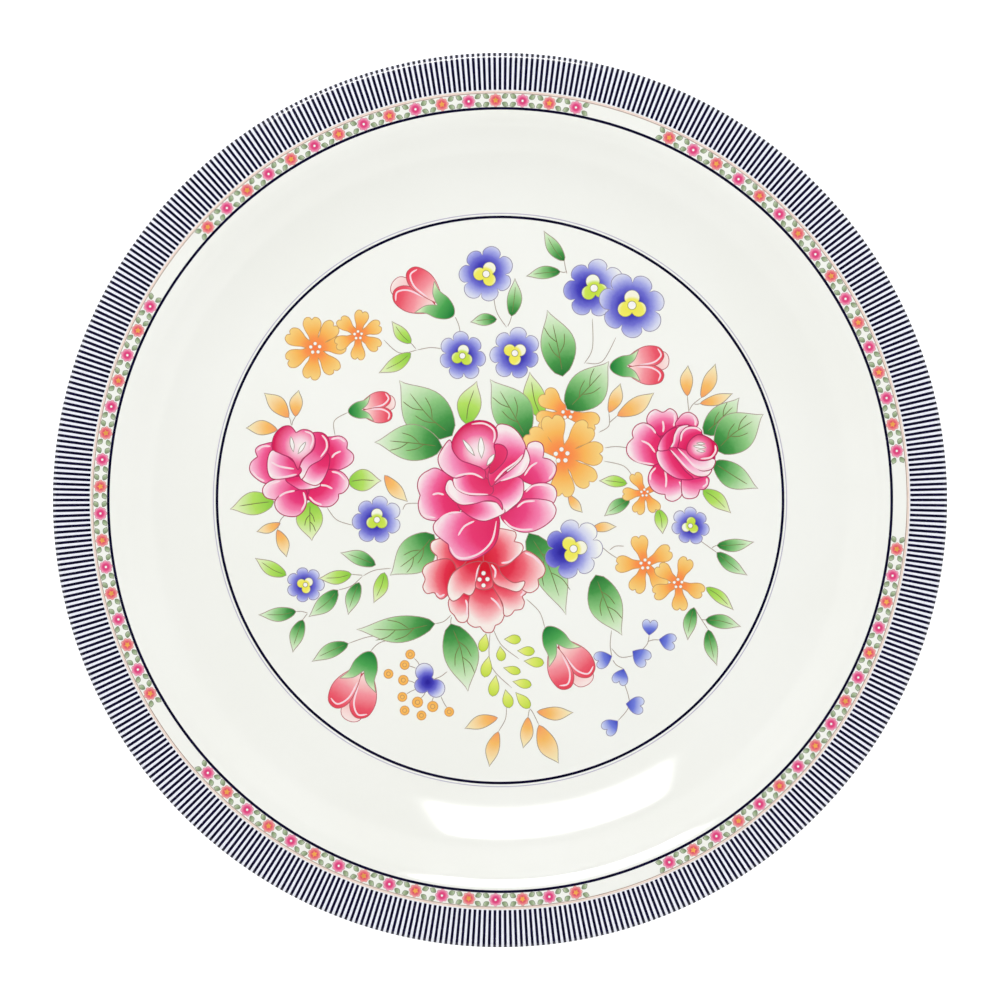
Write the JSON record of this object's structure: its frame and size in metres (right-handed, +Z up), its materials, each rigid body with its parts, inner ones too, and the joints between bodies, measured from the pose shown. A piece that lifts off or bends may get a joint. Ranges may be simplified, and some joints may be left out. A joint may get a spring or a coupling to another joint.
{
  "type": "dinner plate",
  "caption": "Round white china dinner plate with a flat well, raised shoulder, striped rim with a round lip, a small flower border and a printed bouquet in the well.",
  "frame": {"origin": "centre of the foot ring's tread, on the plane that the plate stands on", "axes": "+Z up along the plate's axis, out of the well; +Y towards the top of the bouquet; +X to the right of it"},
  "size_m": [0.27, 0.27, 0.0211],
  "materials": {
    "bisque": "unglazed fired porcelain, fine matt grain",
    "clear_glaze": "glossy white glaze",
    "navy_enamel": "fired navy transfer print under a glossy flux",
    "peach_enamel": "fired peach transfer print",
    "brown_enamel": "fired brown key line print",
    "grey_enamel": "fired grey fine line print",
    "rose_enamel": "fired rose pink print with pale shading",
    "coral_enamel": "fired coral print with pale shading",
    "blue_enamel": "fired blue print fading to white",
    "yellow_enamel": "fired yellow print",
    "orange_enamel": "fired orange print fading to yellow",
    "dark_green_enamel": "fired green print fading to pale green",
    "lime_enamel": "fired lime print fading to pale yellow",
    "sage_enamel": "fired sage green print"
  },
  "bodies": {
    "root": {"porcelain_body": "bisque", "face_glaze": "clear_glaze", "back_glaze": "clear_glaze", "recess_glaze": "clear_glaze", "rim_stripes": "navy_enamel", "stripe_edge_line": "peach_enamel", "border_fine_line": "brown_enamel", "rim_line": "navy_enamel", "well_line": "navy_enamel", "well_fine_line": "grey_enamel", "border_pink_flowers": "rose_enamel", "border_coral_flowers": "coral_enamel", "border_star_centres": "orange_enamel", "border_leaves": "sage_enamel", "rose_pink_enamel": "rose_enamel", "peony_coral_enamel": "coral_enamel", "bud_coral_enamel": "coral_enamel", "bud_calyx_enamel": "dark_green_enamel", "pansy_blue_enamel": "blue_enamel", "pansy_yellow_centres": "yellow_enamel", "blossom_orange_enamel": "orange_enamel", "orange_leaf_enamel": "orange_enamel", "berry_orange_enamel": "orange_enamel", "heart_blue_enamel": "blue_enamel", "dark_leaf_enamel": "dark_green_enamel", "lime_leaf_enamel": "lime_enamel", "seed_yellow_enamel": "yellow_enamel", "stem_brown_enamel": "brown_enamel"}
  },
  "joints": []
}
